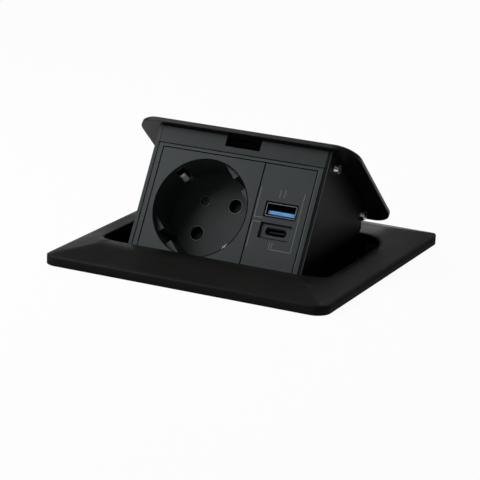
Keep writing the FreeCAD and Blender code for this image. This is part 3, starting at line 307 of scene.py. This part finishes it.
metalLooks = {
    # bright zinc of pressed steel, faintly blue
    "zincPlatedSteel": {
        "dark": "#8d9094", "light": "#b4b7ba", "rough": 0.38, "drawn": (1, 1, 6), "streakMm": 0.5,
        "patchMm": 3},
    # bright nickel of the screws
    "nickelPlatedSteel": {
        "dark": "#a3a4a5", "light": "#dcdcdc", "rough": 0.24, "drawn": evenly, "streakMm": 0.5,
        "patchMm": 1.5},
    # hard-drawn wire under a film of oil, dark and glossy
    "oiledSpringSteel": {
        "dark": "#4b4d50", "light": "#74767a", "rough": 0.3, "drawn": evenly, "streakMm": 0.3,
        "patchMm": 2},
    # chemically blackened steel of the bolt, dull
    "blackenedSteel": {
        "dark": "#060607", "light": "#0d0d0e", "rough": 0.7, "drawn": (1, 4, 1), "streakMm": 0.5,
        "patchMm": 2},
    # dull nickel on the larger port's folded shell
    "nickelPlatedShell": {
        "dark": "#4b4e51", "light": "#74777a", "rough": 0.34, "drawn": evenly, "streakMm": 0.5,
        "patchMm": 1.5},
    # black nickel of the small port
    "blackNickelShell": {
        "dark": "#1d1e20", "light": "#2c2d2f", "rough": 0.4, "drawn": evenly, "streakMm": 0.5,
        "patchMm": 1.5},
    # nickel on the brass earth contacts, pale and satin
    "nickelPlatedBrass": {
        "dark": "#e4e2dc", "light": "#fbf9f4", "rough": 0.45, "drawn": evenly, "streakMm": 0.4,
        "patchMm": 1, "edgeMm": 1.2},
    # bare brass of the contacts and the earth screw, yellow
    "bareBrass": {
        "dark": "#b08a3e", "light": "#d3ab55", "rough": 0.3, "drawn": (1, 5, 1), "streakMm": 0.5,
        "patchMm": 2},
    # thin gold on the port's contacts
    "goldFlash": {
        "dark": "#c79a48", "light": "#e0b865", "rough": 0.22, "drawn": evenly, "streakMm": 0.3,
        "patchMm": 1},
}
galvanisedLook = {"dark": "#85898c", "light": "#b3b7b9", "rough": 0.42, "spangleMm": 4, "bump": 0.1,
                  "edgeMm": 0.5}
inkLook = {"dark": "#545a5b", "light": "#6b7173", "rough": 0.6, "specular": 0.3, "wornMm": 0.5, "detail": 2.0}

finishes = {name: mouldedPlastic(name, look) for name, look in plasticLooks.items()}
finishes.update({name: coatedSteel(name, look) for name, look in coatLooks.items()})
finishes.update({name: platedMetal(name, look) for name, look in metalLooks.items()})
finishes["galvanisedSteel"] = galvanisedSteel("galvanisedSteel", galvanisedLook)
finishes["padPrintedInk"] = printedInk("padPrintedInk", inkLook)

nodesOfFinish = {
    "mouldedPolycarbonateFrame": ["surface_frame"],
    "mouldedPolycarbonateModule": ["socket_face", "usb_face"],
    "mouldedAbsBezel": ["fascia_bezel"],
    "mouldedNylonBlack": ["latch_housing", "pin_shutter", "usb_c_tongue"],
    "mouldedNylonGrey": ["gland_body", "gland_cap", "gland_locknut"],
    "mouldedPbtShell": ["socket_body", "charger_case"],
    "mouldedPbtBlue": ["usb_a_tongue"],
    "solderMaskedEpoxy": ["charger_board"],
    "varnishedFerrite": ["board_parts"],
    "mouldedRubberBlack": ["frame_gasket", "gland_seal", "cover_grommet"],
    "powderCoatedLid": ["lid_plate"],
    "powderCoatedCheek": ["cheek_right", "cheek_left", "rear_cover"],
    "powderCoatedStrip": ["latch_strip"],
    "zincPlatedSteel": ["hinge_bracket_right", "hinge_bracket_left", "hinge_shaft", "hinge_washers",
                        "tie_rod"],
    "nickelPlatedSteel": ["box_screws", "bracket_screws", "cheek_screws", "terminal_screws"],
    "oiledSpringSteel": ["shaft_clips", "flip_springs", "latch_spring", "shutter_spring"],
    "blackenedSteel": ["latch_bolt"],
    "nickelPlatedShell": ["usb_a_shell"],
    "blackNickelShell": ["usb_c_shell"],
    "nickelPlatedBrass": ["earth_strip"],
    "bareBrass": ["box_earth_screw", "live_contact", "neutral_contact"],
    "goldFlash": ["usb_a_contacts"],
    "galvanisedSteel": ["back_box"],
}
for finish, names in nodesOfFinish.items():
    for name in names:
        for holder in nodes[name].material_slots:
            holder.material = finishes[finish]
print("finishes on", sum(len(names) for names in nodesOfFinish.values()), "nodes")

# The unit is flipped up by this much about the hinge, and its fascia leans by this much more when shut
unit = {"hingeY": 38.3, "hingeZ": -10.4, "flip": 40.3,
        "fasciaLean": 11.4, "fasciaTopY": -34.15, "fasciaTopZ": 5.5}
wellMiddle = {"x": -11.25, "height": -30.75}   # the socket's round well, by places on the fascia
leftToRight = Vector((1, 0, 0))


def flippedUp(x, y, z):
    # shut place in mm to the flipped-up place in metres
    turn = math.radians(unit["flip"])
    dy, dz = y - unit["hingeY"], z - unit["hingeZ"]
    return Vector((x, unit["hingeY"] + dy * math.cos(turn) + dz * math.sin(turn),
                   unit["hingeZ"] - dy * math.sin(turn) + dz * math.cos(turn))) * mm


def onFascia(x, depth, height):
    # across, inwards and up the fascia, in mm from the lid's underside
    lean = math.radians(unit["fasciaLean"])
    return flippedUp(x, unit["fasciaTopY"] + depth * math.cos(lean) - height * math.sin(lean),
                     unit["fasciaTopZ"] + depth * math.sin(lean) + height * math.cos(lean))


wireShape = {"roundness": 3, "order": 3}   # order 3 bends smoothly past each point


def wire(name, points, radiusMm, finish):
    # a bent wire as one spline along a row of points in metres
    data = bpy.data.curves.new(name, "CURVE")
    data.dimensions = "3D"
    data.bevel_depth = radiusMm * mm
    data.bevel_resolution = wireShape["roundness"]
    data.use_fill_caps = True
    spline = data.splines.new("NURBS")
    spline.points.add(len(points) - 1)
    for point, spot in zip(spline.points, points):
        point.co = (*spot, 1)
    spline.order_u = wireShape["order"]
    spline.use_endpoint_u = True
    made = bpy.data.objects.new(name, data)
    bpy.context.collection.objects.link(made)
    data.materials.append(finishes[finish])
    return made


torsion = {"radius": 3.8, "wire": 0.6, "startX": 18.0, "length": 10.0, "coils": 5, "perTurn": 20,
           "liftAngle": 140.96, "liftLeg": 16.6, "restAngle": 94.0, "restLeg": 15.6,
           "alongLeg": (1, 0.6, 0.2)}


def springLeg(start, degrees, reach):
    # from the leg's free end to near the coil
    turn = math.radians(degrees)
    return [(start[0], start[1] + reach * f * math.cos(turn), start[2] + reach * f * math.sin(turn))
            for f in torsion["alongLeg"]]


def torsionSpring(side):
    # leg to the tie rod, open coils round the shaft, leg up to the rear flange
    r, w = torsion["radius"], torsion["wire"]
    first = torsion["liftAngle"] + 180
    last = torsion["restAngle"] + 360 * (torsion["coils"] + 1)
    steps = round(torsion["perTurn"] * (last - first) / 360)
    points = []
    for k in range(steps + 1):
        angle = math.radians(first + (last - first) * k / steps)
        x = torsion["startX"] + w + (torsion["length"] - 2 * w) * k / steps
        points.append((x, unit["hingeY"] + r * math.sin(angle), unit["hingeZ"] - r * math.cos(angle)))
    path = springLeg(points[0], torsion["liftAngle"], torsion["liftLeg"]) + points
    path += springLeg(points[-1], torsion["restAngle"], torsion["restLeg"])[::-1]
    path = [Vector((side * x, y, z)) * mm for x, y, z in path]
    made = wire("torsionSpring" + ("Right" if side > 0 else "Left"), path, w, "oiledSpringSteel")
    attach(made, "base")
    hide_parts("flip_springs")


for side in (1, -1):
    torsionSpring(side)

smallSprings = {   # ends: shut places for the bolt's spring, places on the fascia for the shutter's
    "boltSpring": {"radius": 0.9, "wire": 0.2, "turns": 9, "perTurn": 16, "node": "latch_spring",
                   "body": "flip_unit", "from": flippedUp(0, -20.3, 3.2), "to": flippedUp(0, -13.0, 3.2)},
    "shutterSpring": {"radius": 4.5, "wire": 0.22, "turns": 2.5, "perTurn": 16, "node": "shutter_spring",
                      "body": "flip_unit", "from": onFascia(wellMiddle["x"], 22.2, wellMiddle["height"]),
                      "to": onFascia(wellMiddle["x"], 23.3, wellMiddle["height"])},
}


def coilSpring(name, size):
    # even coils from end to end
    way = size["to"] - size["from"]
    side = way.cross(leftToRight).normalized()
    count = int(size["turns"] * size["perTurn"])
    path = []
    for k in range(count + 1):
        angle = 2 * math.pi * size["turns"] * k / count
        ring = (leftToRight * math.cos(angle) + side * math.sin(angle)) * size["radius"] * mm
        path.append(size["from"] + way * k / count + ring)
    made = wire(name, path, size["wire"], "oiledSpringSteel")
    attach(made, size["body"])
    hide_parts(size["node"])


for name, size in smallSprings.items():
    coilSpring(name, size)
print("springs wound")

# Rings about the well's middle: lips round the holes in its floor, painted light as highlight, and a painted
# shadow line where the well meets the face. Each is across, up, radius, depth, thickness in mm, and finish
wellRings = {"pinLipUpper": (6.72, 6.72, 3.02, 17.75, 0.17, "lipPaintedHighlight"),
             "pinLipLower": (-6.72, -6.72, 3.02, 17.75, 0.17, "lipPaintedHighlight"),
             "dimpleLip": (-6.79, 6.79, 2.15, 17.75, 0.12, "lipPaintedHighlight"),
             "wellSeamShadow": (0, 0, 19.9, 0.2, 0.13, "seamPaintedShadow")}
ringShape = {"pointsPerMm": 4, "fewestPoints": 20, "stepsPerPoint": 4}   # points by the mm of radius


def wellRing(name, across, up, radius, depth, thick, finish):
    count = max(ringShape["fewestPoints"], round(ringShape["pointsPerMm"] * radius))
    spots = []
    for k in range(count):
        angle = 2 * math.pi * k / count
        spots.append(onFascia(wellMiddle["x"] + across + radius * math.cos(angle), depth,
                              wellMiddle["height"] + up + radius * math.sin(angle)))
    made = wire(name, spots, thick, finish)
    made.data.splines[0].use_cyclic_u = True
    made.data.resolution_u = ringShape["stepsPerPoint"]
    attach(made, "flip_unit")


for name, ring in wellRings.items():
    wellRing(name, *ring)

# Flat lines on the fascia: u across from the middle, v up from the fascia's foot, in mm
footToLid = 55.325
lineThick = 0.03
flatLines = {
    "portLines": {   # printed guide lines round the two ports
        "width": 0.32, "depth": 0.18, "finish": "padPrintedInk",
        "runs": [[(12.2, 37.1), (12.2, 25.1), (15.6, 25.1)], [(15.2, 23.3), (12.1, 23.3), (12.1, 12.6)],
                 [(30.7, 36.8), (30.7, 13.1), (22.3, 13.1)], [(20.6, 37.1), (20.6, 33.9)],
                 [(22.6, 37.1), (22.6, 33.9)], [(21.4, 15.8), (21.4, 13.1)], [(22.4, 15.8), (22.4, 13.1)]]},
    "moduleSeamShadows": {   # thin black strip in the joint round both modules, as painted shadow
        "width": 0.42, "depth": 0.18, "finish": "seamPaintedShadow",
        "runs": [[(-33.6, 2.1), (-33.6, 46.9), (33.6, 46.9)], [(11.25, 2.1), (11.25, 46.9)]]},
    "rightSeamShadow": {   # the same painted shadow, wider where the modules are pushed over to the left
        "width": 0.8, "depth": 0.18, "finish": "seamPaintedShadow", "runs": [[(33.6, 46.7), (33.6, 2.3)]]},
    "bezelSeamShadows": {   # the same painted shadow between carrier, strip and cheeks
        "width": 0.3, "depth": -0.02, "finish": "seamPaintedShadow",
        "runs": [[(-35.8, 0.4), (-35.8, 48.3), (35.8, 48.3), (35.8, 0.4)]]},
    "portSeamShadows": {   # black strips round the two ports as painted shadow at the edges of their recesses
        "width": 0.3, "depth": 0.18, "finish": "seamPaintedShadow",
        "runs": [[(15.7, 25.8), (15.7, 31.95), (29.3, 31.95), (29.3, 25.8), (15.7, 25.8)],
                 [(28.2, 23.3), (15.7, 23.3), (15.7, 17.2), (28.2, 17.2)]]},
}
boxSides = ((0, 1, 2, 3), (7, 6, 5, 4), (0, 4, 5, 1), (1, 5, 6, 2), (2, 6, 7, 3), (3, 7, 4, 0))


def meshPiece(name, mesh, material):
    # the bmesh as an object with outward normals
    bmesh.ops.recalc_face_normals(mesh, faces=mesh.faces)
    data = bpy.data.meshes.new(name)
    mesh.to_mesh(data)
    mesh.free()
    made = bpy.data.objects.new(name, data)
    bpy.context.collection.objects.link(made)
    data.materials.append(material)
    return made


def layLines(name, lines):
    mesh = bmesh.new()
    half = lines["width"] / 2
    for run in lines["runs"]:
        for (u0, v0), (u1, v1) in zip(run, run[1:]):
            left, low = min(u0, u1) - half, min(v0, v1) - half
            right, high = max(u0, u1) + half, max(v0, v1) + half
            corners = [mesh.verts.new(onFascia(u, depth, v - footToLid))
                       for depth in (lines["depth"], lines["depth"] + lineThick)
                       for u, v in ((left, low), (right, low), (right, high), (left, high))]
            for side in boxSides:
                mesh.faces.new([corners[i] for i in side])
    made = meshPiece(name, mesh, finishes[lines["finish"]])
    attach(made, "flip_unit")


for name, lines in flatLines.items():
    layLines(name, lines)
print("lines and seams laid")

# Stage: white floor with the cut-out that the box drops into; the veil is the share that stays white
floor = {"half": 3.0, "cutOut": 0.0565, "white": "#dedede", "veil": 0.95}


def matWhiteBoard():
    # white to the camera and in gloss, with a faint shadow left in
    material, tree = newMaterial("matWhiteBoard")
    board = addNode(tree, "ShaderNodeBsdfDiffuse", {"Color": linear(floor["white"])})
    glow = addNode(tree, "ShaderNodeEmission", {"Color": linear(white), "Strength": 1.0})
    ray = addNode(tree, "ShaderNodeLightPath").outputs
    seen = addNode(tree, "ShaderNodeMath", links={0: ray["Is Camera Ray"], 1: ray["Is Glossy Ray"]},
                   operation="MAXIMUM")
    seenAll = addNode(tree, "ShaderNodeMath", links={0: seen.outputs[0], 1: ray["Is Transmission Ray"]},
                      operation="MAXIMUM")
    share = addNode(tree, "ShaderNodeMath", {1: floor["veil"]}, {0: seenAll.outputs[0]},
                    operation="MULTIPLY")
    mix = addNode(tree, "ShaderNodeMixShader",
                  links={0: share.outputs[0], 1: board.outputs[0], 2: glow.outputs[0]})
    addNode(tree, "ShaderNodeOutputMaterial", links={"Surface": mix.outputs[0]})
    return material


def paleFloor():
    mesh = bmesh.new()
    inner, outer = [[mesh.verts.new((x * half, y * half, 0)) for x, y in ((-1, -1), (1, -1), (1, 1), (-1, 1))]
                    for half in (floor["cutOut"], floor["half"])]
    for k in range(4):
        n = (k + 1) % 4
        mesh.faces.new((inner[k], outer[k], outer[n], inner[n]))
    made = meshPiece("paleFloor", mesh, matWhiteBoard())


paleFloor()

lamps = {   # the way to each lamp, its distance and size in metres, and its power
    "keySoftbox": {"from": (-0.66, -0.37, 0.655), "away": 0.52, "size": 0.4, "watts": 2.6},
    "backGlow": {"from": (-0.36, 0.87, 0.36), "away": 1.0, "size": 0.3, "watts": 0.45},
    "backSoftbox": {"from": (0.1, 0.62, 0.78), "away": 1.0, "size": 0.5, "watts": 2.0},
}


def softbox(name, lamp):
    data = bpy.data.lights.new(name, "AREA")
    data.shape = "SQUARE"
    data.size = lamp["size"]
    data.energy = lamp["watts"]
    made = bpy.data.objects.new(name, data)
    way = Vector(lamp["from"]).normalized()
    made.location = way * lamp["away"]
    made.rotation_mode = "QUATERNION"
    made.rotation_quaternion = way.to_track_quat("Z", "Y")
    made.visible_camera = False
    bpy.context.collection.objects.link(made)


for name, lamp in lamps.items():
    softbox(name, lamp)

# Room: dim walls, brighter towards the ceiling
studio = {"walls": 0.06, "ceiling": 0.22}
world = bpy.data.worlds.new("studioAir")
world.use_nodes = True
room = world.node_tree
room.nodes.clear()
texture = addNode(room, "ShaderNodeTexCoord")
upward = addNode(room, "ShaderNodeSeparateXYZ", links={"Vector": texture.outputs["Generated"]}).outputs["Z"]
glow = addNode(room, "ShaderNodeMapRange", {"To Min": studio["walls"], "To Max": studio["ceiling"]},
               {"Value": upward})
air = addNode(room, "ShaderNodeBackground", {"Color": linear(white)}, {"Strength": glow.outputs[0]})
addNode(room, "ShaderNodeOutputWorld", links={"Surface": air.outputs[0]})
bpy.context.scene.world = world
bpy.context.scene.view_settings.view_transform = "Standard"
print("stage lit")

# Camera at the photo's place: its axes in the object's frame, and its lens
photoCamera = {"at": (0.3630, -0.79432, 0.25959), "lensMm": 170.4, "sensorMm": 36, "clipStart": 0.05,
               "right": (0.9013, 0.4306, 0.0471), "up": (-0.1615, 0.2333, 0.9589),
               "back": (0.4019, -0.8719, 0.2799)}
lens = bpy.data.cameras.new("photoCamera")
lens.lens = photoCamera["lensMm"]
lens.sensor_width = photoCamera["sensorMm"]
lens.clip_start = photoCamera["clipStart"]
camera = bpy.data.objects.new("photoCamera", lens)
axes = Matrix([photoCamera["right"], photoCamera["up"], photoCamera["back"]]).transposed()
camera.matrix_world = Matrix.Translation(photoCamera["at"]) @ axes.to_4x4()
bpy.context.collection.objects.link(camera)
bpy.context.scene.camera = camera
